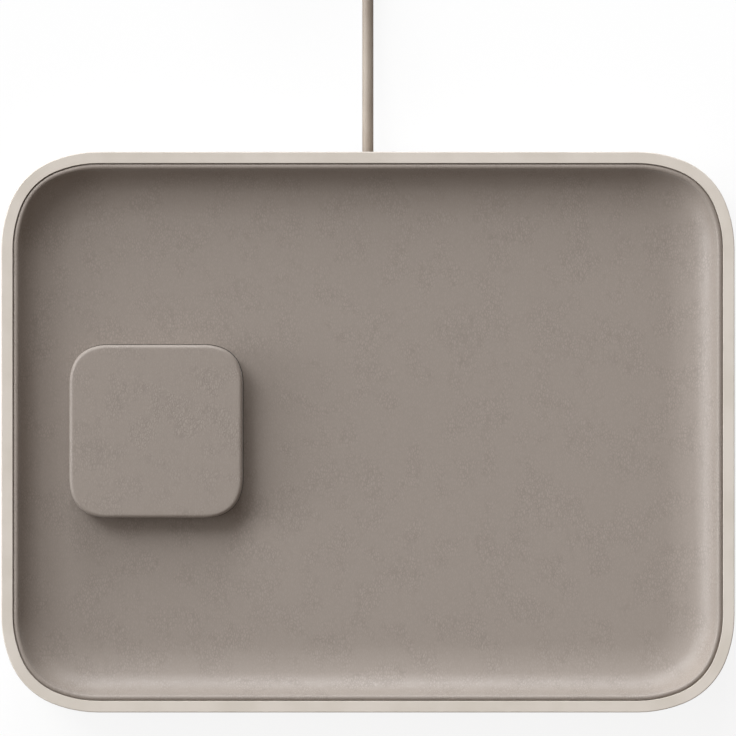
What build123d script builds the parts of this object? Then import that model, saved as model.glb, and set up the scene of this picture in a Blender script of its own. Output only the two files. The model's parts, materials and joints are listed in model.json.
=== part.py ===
from build123d import *
from math import asin, cos, degrees, radians, sin, sqrt, tan
import os

# Charging station organizer: a leather-lined tray with a raised wireless charging puck.
# Millimetres. Origin on the table under the middle of the tray, +X to the right,
# +Y to the back where the cable leaves, +Z up.

# Whole tray
tray_length = 254.0
tray_width = 194.2
tray_height = 24.0
seat_gap = 0.05                # between pieces that are pressed together
overrun = 1.0                  # how far a cutter passes the face that it cuts

# Feet and base plate
foot_stand = 1.5               # the feet hold the plate this far off the table
foot_sink = 0.6                # and sit this deep in its pockets
foot_radius = 7.0
foot_edge_round = 0.5
foot_edge_distance = 19.0      # foot centre to the tray's outer face
base_thickness = 2.2
base_edge_gap = 0.2

# Frame
rim_width = 3.95
rim_outer_round = 0.35
rim_inner_round = 0.12
bottom_edge_round = 4.0
bottom_lip_width = 5.4         # from the outer face to the base plate's rebate
ledge_reach = 8.2              # from the outer face to the ledge's inner face
ledge_thickness = 3.3

# Leather-lined well, inwards from the frame and down from the lip
lip_drop = 0.2                 # the leather's lip lies this far under the rim
groove_width = 0.45            # the dark line between rim and leather
lip_flat = 0.68                # from the leather's outer face to where it rolls down
lip_roll_radius = 1.05
lip_edge_round = 0.62
wall_slope = 75.5              # of the wall where it meets the lip, in degrees
cove_radius = 39.0             # the soft arc that runs out onto the floor
cove_turn = 15.0
well_depth = 9.8
leather_thickness = 0.7
pan_thickness = 1.8
floor_corner_radius = 2.3      # the floor's corners, which set all those around them
floor_corner_end_radius = 19.2
corner_end_turn = 22.0         # turn of the flatter arc at each end of a corner

# Pan skirt, which stands on the frame's ledge
skirt_gap = 2.2                # between the rim's inner face and the skirt
skirt_thickness = 1.6

# Screws under the base plate
base_screw_radius = 1.25
base_screw_head_radius = 2.2
base_screw_head_height = 1.2
base_screw_length = 6.0
base_boss_radius = 3.0
base_screw_edge_distance = 27.0
base_screw_inner_spread = 66.0

# Small screws of the puck and the boards
small_screw_radius = 1.0
small_screw_head_radius = 1.9
small_screw_head_height = 1.0
small_screw_length = 4.0
small_boss_radius = 2.3
key_hole_share = 0.45          # share of a screw's head radius
key_hole_depth = 0.6
thread_gap = 0.08
screw_tip_gap = 0.15

# Puck
puck_size = 60.0
puck_height = 8.5              # above the leather floor
puck_edge_distance = 23.55     # from the tray's outer face to the puck's side
puck_centre_y = 0.25
puck_leather_thickness = 0.8
puck_corner_radius = 10.4
puck_corner_end_radius = 17.0
puck_edge_round = 1.3
puck_top_wall = 1.5
puck_side_wall = 2.0
puck_screw_spread = 44.0

# Inside the puck, from its ceiling down
coil_wire = 1.0
charging_coil_radius = 21.1    # middle of the outermost turn
charging_coil_pitch = 1.12
charging_coil_turns = 10
ferrite_thickness = 0.8
ferrite_rim = 1.5              # the ferrite reaches this far past the coil
ferrite_hole_radius = 8.0
magnet_clearance = 0.7         # between ferrite and magnets
magnet_width = 3.3
magnet_thickness = 1.8
magnet_count = 18
magnet_span_share = 0.86       # share of its pitch that a magnet fills
carrier_thickness = 1.4
carrier_rim = 0.4              # the carrier reaches this far past the magnets
carrier_post_radius = 2.0
carrier_post_circle = 16.0
lead_slot_width = 3.4
sensor_seat_radius = 3.0
sensor_seat_height = 0.8
sensor_length = 3.2
sensor_width = 2.0
sensor_height = 1.0

# Circuit boards
board_thickness = 1.2
board_corner_radius = 1.5
board_hang = 1.5               # the main board hangs this far under the pan
main_board_length = 46.0
main_board_width = 34.0
board_screw_inset = 4.0
port_board_length = 30.0
port_board_width = 20.0
controller_size = 6.0
controller_height = 0.9
driver_length = 5.0
driver_width = 4.0
driver_height = 0.8
driver_pitch = 12.0
capacitor_length = 3.6
capacitor_width = 2.6
capacitor_height = 2.2
capacitor_count = 4
capacitor_pitch = 5.4
chip_row_distance = 9.5        # from the board's middle to a row of chips

# Headers on the boards and the harness between them
header_width = 7.0
header_depth = 4.6
header_height = 3.4
header_wall = 0.7
header_edge_distance = 0.4
harness_plug_stand = 1.0       # the plug stands this far out of its header
harness_wire = 1.2
harness_wire_pitch = 1.5

# Port in the back
port_centre_z = 8.2
port_depth = 17.3              # from the back face to the socket's mouth
bay_width = 13.6
bay_height = 6.8
bay_corner_radius = 1.4
bay_wall = 0.8
bay_fit_gap = 0.1
liner_recess = 0.4
socket_width = 9.02
socket_height = 3.26
socket_length = 7.35
socket_wall = 0.28
tongue_width = 6.7
tongue_height = 0.7
tongue_length = 5.3

# Plugs, alike at both ends of the cable
plug_width = 8.25
plug_height = 2.4
plug_length = 6.65
plug_wall = 0.3
plug_slot_width = 6.94
plug_slot_height = 0.96
plug_slot_depth = 5.6
plug_running_gap = 0.4         # around the plug where it passes the liner
grip_width = 11.2
grip_height = 5.8
grip_length = 15.6
grip_corner_radius = 2.4
grip_edge_round = 0.6

# Cable
cable_diameter = 3.9
table_gap = 0.1                # between the table and what lies on it
coil_radius = 25.55            # middle of the first turn
coil_pitch = 4.35
coil_half_turns = (4, 4, 4, 5)  # in each layer, besides the one that climbs to it
coil_distance = 118.9          # from the tray's back face to the coil's middle
tie_thickness = 0.7
tie_width = 9.0
tie_corner_radius = 2.2
tie_gap = 0.2

# Share of a run that the arc at its end may take, on harness and cable
arc_run_share = 0.45

# Inner points of the harness, as shares of the way in x and in y from one plug to the other
harness_route_shares = [(0.24, 0.0), (0.66, 0.13), (0.93, 0.45), (1.0, 0.76)]

# Cable from the tray's plug to the coil, chosen by hand: distance behind the plug, and height
lead_route = [(14.0, 8.2), (35.0, 4.8), (60.4, 2.95)]

# Cable from the coil to the far plug, chosen by hand: counted from the coil's end
tail_route = [(0.0, 18.0, 0.0), (0.8, 36.0, -5.6), (1.2, 54.0, -12.95), (1.2, 66.0, -12.95)]

# Places and levels worked out from the sizes
puck_centre_x = puck_edge_distance + puck_size / 2 - tray_length / 2
plate_top = foot_stand + base_thickness
ledge_top = plate_top + ledge_thickness
lip_top = tray_height - lip_drop
floor_top = lip_top - well_depth
pan_top = floor_top - leather_thickness
pan_bottom = pan_top - pan_thickness
pan_middle = pan_bottom + pan_thickness / 2
puck_top = floor_top + puck_height
housing_top = puck_top - puck_leather_thickness
ceiling = housing_top - puck_top_wall

# The well's cross-section: three arcs from the floor out to the lip
lip_outer = rim_width + groove_width
lip_inner = lip_outer + lip_flat
cove_drop = cove_radius * (1 - cos(radians(cove_turn)))
roll_drop = lip_roll_radius * (1 - cos(radians(wall_slope)))
wall_radius = (well_depth - cove_drop - roll_drop) / (
    cos(radians(cove_turn)) - cos(radians(wall_slope))
)
floor_inset = (
    lip_inner
    + (cove_radius - wall_radius) * sin(radians(cove_turn))
    + (wall_radius + lip_roll_radius) * sin(radians(wall_slope))
)
corner_radius = floor_inset + floor_corner_radius
corner_end_radius = floor_inset + floor_corner_end_radius

# Stack inside the puck
coil_middle = ceiling - seat_gap - coil_wire / 2
ferrite_top = coil_middle - coil_wire / 2 - seat_gap
ferrite_radius = charging_coil_radius + ferrite_rim
carrier_top = ferrite_top - ferrite_thickness - seat_gap
carrier_bottom = carrier_top - carrier_thickness
magnet_inner_radius = ferrite_radius + magnet_clearance
magnet_outer_radius = magnet_inner_radius + magnet_width
carrier_radius = magnet_outer_radius + carrier_rim
charging_coil_inner = charging_coil_radius - charging_coil_turns * charging_coil_pitch

# Boards
main_board_top = pan_bottom - board_hang
main_board_bottom = main_board_top - board_thickness
port_board_top = port_centre_z - socket_height / 2
port_board_bottom = port_board_top - board_thickness

# Along the port, from the back face inwards
back_face = tray_width / 2
liner_back = back_face - liner_recess
socket_mouth = back_face - port_depth
liner_front = socket_mouth + seat_gap
grip_front = liner_front + bay_wall + plug_running_gap
grip_back = grip_front + grip_length
coil_centre_y = back_face + coil_distance
coil_lift = table_gap + tie_thickness + tie_gap + cable_diameter / 2


# Outlines and simple bodies

def corner_reach(mid_radius, end_radius):
    """How far a corner of three arcs reaches along each of its two sides."""
    turn = radians(corner_end_turn)
    return end_radius * (1 + sin(turn) - cos(turn)) + mid_radius * (cos(turn) - sin(turn))


def soft_outline(length, width, mid_radius, end_radius, centre=(0, 0), z=0):
    """Rounded rectangle with a flatter arc on each side of the arc at every corner."""
    reach = corner_reach(mid_radius, end_radius)
    turns = (
        (end_radius, corner_end_turn),
        (mid_radius, 90 - 2 * corner_end_turn),
        (end_radius, corner_end_turn),
    )
    point = Vector(centre[0] + length / 2, centre[1], z)
    heading = Vector(0, 1, 0)
    edges = []
    for run in (width / 2 - reach, length - 2 * reach, width - 2 * reach, length - 2 * reach):
        edges.append(Line(point, point + heading * run))
        point = edges[-1] @ 1
        for radius, turn in turns:
            edges.append(JernArc(point, heading, radius, turn))
            point = edges[-1] @ 1
            heading = edges[-1] % 1
    edges.append(Line(point, edges[0] @ 0))
    return Wire(edges)


def tray_outline(inset, z=0):
    """The tray's outline moved inwards all round."""
    return soft_outline(
        tray_length - 2 * inset, tray_width - 2 * inset,
        corner_radius - inset, corner_end_radius - inset, z=z,
    )


def puck_outline(inset, z=0):
    """The puck's outline moved inwards all round."""
    return soft_outline(
        puck_size - 2 * inset, puck_size - 2 * inset,
        puck_corner_radius - inset, puck_corner_end_radius - inset,
        centre=(puck_centre_x, puck_centre_y), z=z,
    )


def slab(outline, height):
    """Straight block upwards from a flat closed outline."""
    return extrude(make_face(outline), amount=height, dir=(0, 0, 1))


def swept_ring(section):
    """A cross-section carried round the tray's outline."""
    return sweep(make_face(section), path=tray_outline(0))


def on_section(inset, z):
    """Point of the tray's cross-section, on the right-hand side."""
    return Vector(tray_length / 2 - inset, 0, z)


def block(centre, size):
    """Box from its centre and its three sizes."""
    return Pos(*centre) * Box(*size)


def column(place, bottom, top, radius):
    """Upright round column at an x and y."""
    return Pos(place[0], place[1], (bottom + top) / 2) * Cylinder(radius, top - bottom)


def along_y(sketch, y_low, y_high, centre_z=port_centre_z):
    """A sketch of widths and heights, carried from one y to another."""
    start = Plane(origin=(0, y_low, centre_z), x_dir=(1, 0, 0), z_dir=(0, 1, 0))
    return extrude(start * sketch, amount=y_high - y_low)


def corners_of(spread_x, spread_y, centre=(0, 0)):
    """The four corners of a rectangle."""
    return [
        (centre[0] + side_x * spread_x / 2, centre[1] + side_y * spread_y / 2)
        for side_x in (-1, 1) for side_y in (-1, 1)
    ]


def save(name, *pieces):
    """Write one node, which may be a group of separate solids."""
    solids = [solid for piece in pieces for solid in piece.solids()]
    export_step(solids[0] if len(solids) == 1 else Compound(solids), f"parts/{name}.step")


# Places that several pieces share

puck_centre = (puck_centre_x, puck_centre_y)
foot_places = corners_of(tray_length - 2 * foot_edge_distance, tray_width - 2 * foot_edge_distance)
base_screw_row = tray_width - 2 * base_screw_edge_distance
base_screw_places = (
    corners_of(tray_length - 2 * base_screw_edge_distance, base_screw_row)
    + corners_of(base_screw_inner_spread, base_screw_row)
)
puck_screw_places = corners_of(puck_screw_spread, puck_screw_spread, puck_centre)
main_board_screw_places = corners_of(
    main_board_length - 2 * board_screw_inset, main_board_width - 2 * board_screw_inset, puck_centre
)
port_board_centre = (0, socket_mouth - port_board_width / 2)
port_board_screw_places = corners_of(
    port_board_length - 2 * board_screw_inset, port_board_width - 2 * board_screw_inset,
    port_board_centre,
)
lead_places = [
    (puck_centre_x + radius, puck_centre_y)
    for radius in (charging_coil_inner, charging_coil_radius)
]
lead_slot_length = lead_places[1][0] - lead_places[0][0] + lead_slot_width
lead_slot_x = (lead_places[0][0] + lead_places[1][0]) / 2


def screws(places, head_bottom, radius, length, head_radius, head_height):
    """Screws put in from below, each head with a round key hole."""
    made = []
    for place in places:
        head_top = head_bottom + head_height
        screw = column(place, head_bottom, head_top, head_radius)
        screw += column(place, head_top, head_top + length, radius)
        key = head_radius * key_hole_share
        made.append(screw - column(place, head_bottom - overrun, head_bottom + key_hole_depth, key))
    return made


def small_screws(places, seat):
    """Small screws whose heads press up against a seat."""
    return screws(
        places, seat - seat_gap - small_screw_head_height, small_screw_radius,
        small_screw_length, small_screw_head_radius, small_screw_head_height,
    )


def small_holes(places, seat, bottom):
    """Blind holes for small screws, from a bottom level up past the screws' tips."""
    top = seat - seat_gap + small_screw_length + screw_tip_gap
    return [column(place, bottom, top, small_screw_radius + thread_gap) for place in places]


def lead_slot(bottom, top):
    """The slot that the coil's two leads pass through."""
    return block(
        (lead_slot_x, puck_centre_y, (bottom + top) / 2),
        (lead_slot_length, lead_slot_width, top - bottom),
    )


def bay_body(grow, y_low, y_high):
    """The liner's outside, or a larger copy that cuts room for it."""
    sketch = RectangleRounded(
        bay_width + 2 * (bay_wall + grow), bay_height + 2 * (bay_wall + grow),
        bay_corner_radius + bay_wall + grow,
    )
    return along_y(sketch, y_low, y_high)


# Tray

def make_rim_frame():
    corners = (
        on_section(0, foot_stand),
        on_section(0, tray_height),
        on_section(rim_width, tray_height),
        on_section(rim_width, ledge_top),
        on_section(ledge_reach, ledge_top),
        on_section(ledge_reach, plate_top + seat_gap),
        on_section(bottom_lip_width, plate_top + seat_gap),
        on_section(bottom_lip_width, foot_stand),
    )
    rounds = [bottom_edge_round, rim_outer_round, rim_inner_round] + [0] * 5
    frame = swept_ring(FilletPolyline(*corners, radius=rounds, close=True))
    return frame - bay_body(bay_fit_gap, back_face - ledge_reach - overrun, back_face + overrun)


def well_point(arc, angle, depth):
    """Point on one of the well's three arcs, at a depth under the leather's surface."""
    turn = radians(angle)
    centre_inset = floor_inset
    centre_z = floor_top + cove_radius
    if arc == "cove":
        reach = cove_radius + depth
        return on_section(centre_inset - reach * sin(turn), centre_z - reach * cos(turn))
    centre_inset -= (cove_radius - wall_radius) * sin(radians(cove_turn))
    centre_z -= (cove_radius - wall_radius) * cos(radians(cove_turn))
    if arc == "wall":
        reach = wall_radius + depth
        return on_section(centre_inset - reach * sin(turn), centre_z - reach * cos(turn))
    reach = lip_roll_radius - depth
    return on_section(lip_inner + reach * sin(turn), lip_top - lip_roll_radius + reach * cos(turn))


def well_arc(arc, start, end, depth):
    """One arc of the well between two angles."""
    return ThreePointArc(
        well_point(arc, start, depth),
        well_point(arc, (start + end) / 2, depth),
        well_point(arc, end, depth),
    )


def well_line(depth):
    """The well's surface from the floor's edge out to the lip, at a depth under it."""
    return [
        well_arc("cove", 0, cove_turn, depth),
        well_arc("wall", cove_turn, wall_slope, depth),
        well_arc("lip", wall_slope, 0, depth),
    ]


def make_tray_leather():
    upper = well_line(0)
    lower = well_line(leather_thickness)
    roll_start = on_section(lip_outer + lip_edge_round, lip_top)
    roll_end = on_section(lip_outer, lip_top - lip_edge_round)
    edge_foot = on_section(lip_outer, lip_top - leather_thickness)
    outside = [
        Line(upper[-1] @ 1, roll_start),
        TangentArc(roll_start, roll_end, tangent=(1, 0, 0)),
        Line(roll_end, edge_foot),
        Line(edge_foot, lower[-1] @ 1),
        Line(lower[0] @ 0, upper[0] @ 0),
    ]
    wall = swept_ring(Wire(upper + lower + outside))
    floor = slab(tray_outline(floor_inset, pan_top), leather_thickness)
    opening = puck_outline(-seat_gap, pan_top - overrun)
    return wall + floor - slab(opening, leather_thickness + 2 * overrun)


def pan_wall():
    """The pan's coved wall and upstand."""
    under = leather_thickness + pan_thickness
    upper = well_line(leather_thickness)
    wall_centre = floor_inset - (cove_radius - wall_radius) * sin(radians(cove_turn))
    meeting = degrees(asin((wall_centre - lip_outer) / (wall_radius + under)))
    lower = [well_arc("cove", 0, cove_turn, under), well_arc("wall", cove_turn, meeting, under)]
    upstand_top = on_section(lip_outer, lip_top - leather_thickness)
    closing = [
        Line(upper[-1] @ 1, upstand_top),
        Line(upstand_top, lower[-1] @ 1),
        Line(lower[0] @ 0, upper[0] @ 0),
    ]
    return swept_ring(Wire(upper + lower + closing))


def pan_skirt():
    """The ring under the pan that stands on the frame's ledge."""
    middle_radius = wall_radius + leather_thickness + pan_thickness / 2
    wall_centre = floor_inset - (cove_radius - wall_radius) * sin(radians(cove_turn))
    wall_height = floor_top + cove_radius - (cove_radius - wall_radius) * cos(radians(cove_turn))
    corners = []
    for inset in (rim_width + skirt_gap, rim_width + skirt_gap + skirt_thickness):
        rise = sqrt(middle_radius ** 2 - (wall_centre - inset) ** 2)
        corners.append([
            on_section(inset, ledge_top + seat_gap), on_section(inset, wall_height - rise)
        ])
    return swept_ring(Polyline(*corners[0], corners[1][1], corners[1][0], close=True))


def make_tray_pan():
    pan = pan_wall() + slab(tray_outline(floor_inset, pan_bottom), pan_thickness) + pan_skirt()
    for place in base_screw_places:
        pan += column(place, plate_top + seat_gap, pan_middle, base_boss_radius)
    for place in main_board_screw_places:
        pan += column(place, main_board_top + seat_gap, pan_middle, small_boss_radius)
    for place in port_board_screw_places:
        pan += column(place, port_board_top + seat_gap, pan_middle, small_boss_radius)
    for place in base_screw_places:
        tip = foot_stand + base_screw_head_height + base_screw_length + screw_tip_gap
        pan -= column(place, plate_top - overrun, tip, base_screw_radius + thread_gap)
    pan -= small_holes(main_board_screw_places, main_board_bottom, main_board_top)
    pan -= small_holes(port_board_screw_places, port_board_bottom, port_board_top)
    for place in puck_screw_places:
        pan -= column(place, pan_bottom - overrun, pan_top + overrun, small_screw_radius + thread_gap)
    pan -= lead_slot(pan_bottom - overrun, pan_top + overrun)
    return pan - bay_body(bay_fit_gap, liner_front - bay_fit_gap, back_face)


def make_base_plate():
    plate = slab(tray_outline(bottom_lip_width + base_edge_gap, foot_stand), base_thickness)
    for place in foot_places:
        plate -= column(place, foot_stand - overrun, foot_stand + foot_sink, foot_radius + seat_gap)
    for place in base_screw_places:
        seat = foot_stand + base_screw_head_height + seat_gap
        plate -= column(place, foot_stand - overrun, seat, base_screw_head_radius + thread_gap)
        plate -= column(place, foot_stand, plate_top + overrun, base_screw_radius + thread_gap)
    return plate


def make_foot(place):
    foot = column(place, 0, foot_stand + foot_sink - seat_gap, foot_radius)
    return fillet(foot.edges().group_by(Axis.Z)[0], foot_edge_round)


# Puck

def pan_rise(inset):
    """How far the pan has risen over its floor, at an inset from the tray's outer face."""
    reach = cove_radius + leather_thickness
    return reach - sqrt(reach ** 2 - max(floor_inset - inset, 0) ** 2)


def make_puck_housing():
    bottom = pan_top + pan_rise(puck_edge_distance + puck_leather_thickness) + seat_gap
    housing = slab(puck_outline(puck_leather_thickness, bottom), housing_top - bottom)
    top_round = puck_edge_round - puck_leather_thickness
    housing = fillet(housing.faces().sort_by(Axis.Z)[-1].edges(), top_round)
    hollow = puck_outline(puck_leather_thickness + puck_side_wall, bottom - overrun)
    housing -= slab(hollow, ceiling - bottom + overrun)
    for place in puck_screw_places:
        housing += column(place, bottom, ceiling + puck_top_wall / 2, small_boss_radius)
    return housing - small_holes(puck_screw_places, pan_bottom, bottom - overrun)


def make_puck_leather():
    """Cap whose sides go down through the tray's leather to the pan."""
    bottom = pan_top + pan_rise(puck_edge_distance) + seat_gap
    leather = slab(puck_outline(0, bottom), puck_top - bottom)
    leather = fillet(leather.faces().sort_by(Axis.Z)[-1].edges(), puck_edge_round)
    inside = puck_outline(puck_leather_thickness - seat_gap, bottom - overrun)
    core = slab(inside, housing_top + seat_gap - bottom + overrun)
    top_round = puck_edge_round - puck_leather_thickness
    return leather - fillet(core.faces().sort_by(Axis.Z)[-1].edges(), top_round)


def make_coil_carrier():
    carrier = column(puck_centre, carrier_bottom, carrier_top, carrier_radius)
    for place in corners_of(
        carrier_post_circle * sqrt(2), carrier_post_circle * sqrt(2), puck_centre
    ):
        carrier += column(place, pan_top + seat_gap, carrier_top, carrier_post_radius)
    carrier += column(
        puck_centre, carrier_bottom, carrier_top + sensor_seat_height, sensor_seat_radius
    )
    return carrier - lead_slot(carrier_bottom - overrun, carrier_top + overrun)


def make_ferrite_shield():
    bottom = ferrite_top - ferrite_thickness
    ring = column(puck_centre, bottom, ferrite_top, ferrite_radius)
    ring -= column(puck_centre, bottom - overrun, ferrite_top + overrun, ferrite_hole_radius)
    return ring - lead_slot(bottom - overrun, ferrite_top + overrun)


def make_magnet(index):
    """One curved magnet of the ring, counted round it."""
    half_span = 180 / magnet_count * magnet_span_share
    middle = 360 / magnet_count * (index + 1 / 2)
    corners = []
    for radius in (magnet_inner_radius, magnet_outer_radius):
        corners.append([
            Vector(radius * cos(radians(angle)), radius * sin(radians(angle)))
            for angle in (middle - half_span, middle, middle + half_span)
        ])
    inner = ThreePointArc(*corners[0])
    outer = ThreePointArc(*corners[1])
    outline = Wire([inner, Line(inner @ 1, outer @ 1), outer, Line(outer @ 0, inner @ 0)])
    bottom = carrier_top + seat_gap
    return Pos(*puck_centre, bottom) * extrude(
        make_face(outline), amount=magnet_thickness, dir=(0, 0, 1)
    )


def make_temperature_sensor():
    centre_z = carrier_top + sensor_seat_height + seat_gap + sensor_height / 2
    sketch = SlotOverall(sensor_length, sensor_width)
    return Pos(*puck_centre, centre_z - sensor_height / 2) * extrude(sketch, amount=sensor_height)


# Wound wire and cable

def half_turn(start, end, heading):
    """Two matching arcs that turn back from a heading, rising evenly to their end."""
    middle = (start + end) / 2 + heading * ((end - start).length / 2)
    first = TangentArc(start, middle, tangent=heading)
    return [first, TangentArc(middle, end, tangent=first % 1)]


def wound_path(crossings, centre):
    """Half turns through crossings of the x axis, given as radii and heights."""
    points = [
        Vector(centre[0] + (-1) ** count * radius, centre[1], height)
        for count, (radius, height) in enumerate(crossings)
    ]
    edges = []
    for count in range(len(points) - 1):
        heading = Vector(0, (-1) ** count, 0)
        edges += half_turn(points[count], points[count + 1], heading)
    return edges


def tube(edges, diameter):
    """Round tube along edges that follow each other smoothly."""
    start = Plane(origin=edges[0] @ 0, z_dir=edges[0] % 0)
    return sweep(start * Circle(diameter / 2), path=Wire(edges))


def eased_line(points):
    """Straight runs joined by the largest arcs that their lengths allow."""
    radii = []
    for before, corner, after in zip(points, points[1:], points[2:]):
        turn = radians((corner - before).get_angle(after - corner))
        shorter = min((corner - before).length, (after - corner).length)
        radii.append(arc_run_share * shorter / tan(turn / 2))
    print("  radii", [round(radius, 1) for radius in radii])
    return FilletPolyline(*points, radius=radii)


def make_charging_coil():
    crossings = [
        (charging_coil_inner + count * charging_coil_pitch / 2, coil_middle)
        for count in range(2 * charging_coil_turns + 1)
    ]
    return tube(wound_path(crossings, puck_centre), coil_wire)


def make_coil_lead(place):
    """A straight lead from the coil down to the main board."""
    return column(
        place, main_board_top + seat_gap, coil_middle - coil_wire / 2 - seat_gap, coil_wire / 2
    )


# Boards and what is on them

def make_board(centre, length, width, bottom, screw_places):
    board = Pos(*centre, bottom) * extrude(
        RectangleRounded(length, width, board_corner_radius), amount=board_thickness
    )
    for place in screw_places:
        board -= column(
            place, bottom - overrun, bottom + board_thickness + overrun,
            small_screw_radius + thread_gap,
        )
    return board


def chip(x, y, length, width, height):
    """Flat component under the main board, placed from the board's middle."""
    top = main_board_bottom - seat_gap
    centre = (puck_centre_x + x, puck_centre_y + y, top - height / 2)
    return block(centre, (length, width, height))


def make_chips():
    controller = chip(-driver_pitch / 2, 0, controller_size, controller_size, controller_height)
    drivers = [
        chip(side * driver_pitch / 2, chip_row_distance, driver_length, driver_width, driver_height)
        for side in (-1, 1)
    ]
    return [controller] + drivers


def make_capacitors():
    first = -(capacitor_count - 1) * capacitor_pitch / 2
    return [
        chip(
            first + count * capacitor_pitch, -chip_row_distance,
            capacitor_length, capacitor_width, capacitor_height,
        )
        for count in range(capacitor_count)
    ]


def make_header():
    """Shrouded header with its mouth at x = 0 and its board at z = 0."""
    shell = block((-header_depth / 2, 0, header_height / 2), (header_depth, header_width, header_height))
    pocket_depth = header_depth - header_wall
    pocket = block(
        (-pocket_depth / 2 + overrun / 2, 0, header_height / 2),
        (pocket_depth + overrun, header_width - 2 * header_wall, header_height - 2 * header_wall),
    )
    return shell - pocket


def make_harness_plug():
    """Plug seated in a header, in the header's own directions."""
    depth = header_depth - header_wall - seat_gap
    return block(
        ((harness_plug_stand - depth) / 2, 0, header_height / 2),
        (
            depth + harness_plug_stand,
            header_width - 2 * (header_wall + seat_gap),
            header_height - 2 * (header_wall + seat_gap),
        ),
    )


main_header_mouth = puck_centre_x + main_board_length / 2 - header_edge_distance
port_header_mouth = socket_mouth - port_board_width + header_edge_distance
header_spots = [
    Pos(main_header_mouth, puck_centre_y, main_board_bottom - seat_gap) * Rot(180, 0, 0),
    Pos(0, port_header_mouth, port_board_top + seat_gap) * Rot(0, 0, -90),
]


def make_harness_wire(side):
    """One of the two wires, which run one above the other."""
    offset = side * harness_wire_pitch / 2
    start_z = main_board_bottom - seat_gap - header_height / 2 + offset
    end_z = port_board_top + seat_gap + header_height / 2 + offset
    start = Vector(main_header_mouth + harness_plug_stand, puck_centre_y, start_z)
    end = Vector(0, port_header_mouth - harness_plug_stand, end_z)
    way = end - start
    count = len(harness_route_shares) - 1
    inner = [
        start + Vector(way.X * share_x, way.Y * share_y, way.Z * index / count)
        for index, (share_x, share_y) in enumerate(harness_route_shares)
    ]
    return tube(eased_line([start] + inner + [end]).edges(), harness_wire)


# Port in the back

def make_port_liner():
    liner = bay_body(0, liner_front, liner_back)
    bay = RectangleRounded(bay_width, bay_height, bay_corner_radius)
    liner -= along_y(bay, liner_front + bay_wall, liner_back + overrun)
    way_in = SlotOverall(plug_width + 2 * plug_running_gap, plug_height + 2 * plug_running_gap)
    return liner - along_y(way_in, liner_front - overrun, liner_back)


def make_usb_receptacle():
    back = socket_mouth - socket_length
    shell = along_y(SlotOverall(socket_width, socket_height), back, socket_mouth)
    hollow = SlotOverall(socket_width - 2 * socket_wall, socket_height - 2 * socket_wall)
    return shell - along_y(hollow, back + socket_wall, socket_mouth + overrun)


def make_receptacle_tongue():
    root = socket_mouth - socket_length + socket_wall + seat_gap
    return along_y(Rectangle(tongue_width, tongue_height), root, root + tongue_length)


# Plugs, made about the middle of the grip's front face and pointing to -Y

def make_plug_shell():
    shell = along_y(SlotOverall(plug_width, plug_height), -plug_length, 0, 0)
    inside = SlotOverall(plug_width - 2 * plug_wall, plug_height - 2 * plug_wall)
    return shell - along_y(inside, -plug_length - overrun, overrun, 0)


def make_plug_contacts():
    shrink = 2 * (plug_wall + seat_gap)
    filling = along_y(SlotOverall(plug_width - shrink, plug_height - shrink), -plug_length, 0, 0)
    slot = Rectangle(plug_slot_width, plug_slot_height)
    return filling - along_y(slot, -plug_length - overrun, plug_slot_depth - plug_length, 0)


def make_plug_grip():
    grip = along_y(RectangleRounded(grip_width, grip_height, grip_corner_radius), 0, grip_length, 0)
    ends = grip.edges().group_by(Axis.Y)
    return fillet(ends[0] + ends[-1], grip_edge_round)


# Cable

def coil_crossings():
    """Radius and height at each half turn: layers spiral in and out, one on the other."""
    step = coil_pitch / 2
    radius = coil_radius
    inwards = -1
    crossings = [(radius, coil_lift)]
    for layer, half_turns in enumerate(coil_half_turns):
        height = coil_lift + layer * coil_pitch
        if layer:
            radius += inwards * step
            crossings.append((radius, height))
            inwards = -inwards
        for count in range(half_turns):
            radius += inwards * step * (2 if layer and count == 0 else 1)
            crossings.append((radius, height))
    return crossings


def make_cable_coil():
    edges = wound_path(coil_crossings(), (-coil_radius, coil_centre_y))
    way_in = edges[0] @ 0
    way_out = edges[-1] @ 1
    straight = Vector(0, cable_diameter, 0)
    edges = [Line(way_in - straight, way_in)] + edges + [Line(way_out, way_out + straight)]
    report_gap(edges)
    return tube(edges, cable_diameter), edges


def report_gap(edges):
    """Print the least gap between turns, measured on points along the coil's middle line."""
    path = Wire(edges)
    spacing = cable_diameter / 3
    count = int(path.length / spacing)
    points = [path @ (index / count) for index in range(count + 1)]
    skipped = int(coil_radius / spacing)
    nearest = min(
        (points[first] - points[second]).length
        for first in range(count + 1)
        for second in range(first + skipped, count + 1)
    )
    print(f"  coil: {path.length:.0f} long, least gap {nearest - cable_diameter:.2f}")


def lead_points(coil_start):
    """From the tray's plug to the coil."""
    points = [Vector(0, grip_back, port_centre_z)]
    points += [Vector(0, grip_back + behind, height) for behind, height in lead_route]
    return points + [coil_start]


def make_cable_tie():
    """Strap round all the layers at the coil's left side."""
    radii = [radius for radius, height in coil_crossings()[1::2]]
    innermost = min(radii) - cable_diameter / 2
    inner = sqrt(innermost ** 2 - (tie_width / 2) ** 2) - tie_gap
    outer = max(radii) + cable_diameter / 2 + tie_gap
    bottom = coil_lift - cable_diameter / 2 - tie_gap
    top = coil_lift + (len(coil_half_turns) - 1) * coil_pitch + cable_diameter / 2 + tie_gap
    width = outer - inner
    height = top - bottom
    strap = RectangleRounded(
        width + 2 * tie_thickness, height + 2 * tie_thickness, tie_corner_radius + tie_thickness
    ) - RectangleRounded(width, height, tie_corner_radius)
    y_low = coil_centre_y - tie_width / 2
    ring = along_y(strap, y_low, y_low + tie_width, (top + bottom) / 2)
    return Pos(-coil_radius - (inner + outer) / 2, 0, 0) * ring


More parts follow.
